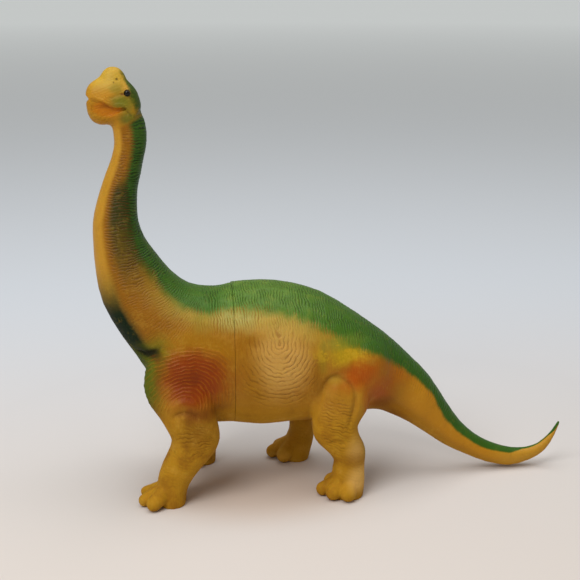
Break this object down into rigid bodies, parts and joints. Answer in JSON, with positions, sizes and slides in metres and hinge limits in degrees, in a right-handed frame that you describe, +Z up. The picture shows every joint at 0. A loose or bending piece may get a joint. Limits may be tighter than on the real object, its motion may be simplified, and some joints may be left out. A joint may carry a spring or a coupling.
{
  "type": "toy dinosaur figure",
  "caption": "Long-necked toy dinosaur in a walking pose, moulded as hollow soft-vinyl shells joined by a snap collar round the torso, with glossy painted eyes.",
  "frame": {"origin": "on the ground, under the middle of the figure's box", "axes": "+X towards the tail, -X towards the head, -Y the figure's left side, +Z up"},
  "size_m": [0.2201, 0.0717, 0.1941],
  "materials": {
    "painted_vinyl": "soft vinyl with a satin skin, airbrushed green along the back and orange on the shoulders and hips",
    "eye_lacquer": "gloss black lacquer"
  },
  "bodies": {
    "root": {"front_shell": "painted_vinyl", "rear_shell": "painted_vinyl", "left_eye": "eye_lacquer", "right_eye": "eye_lacquer"}
  },
  "joints": []
}
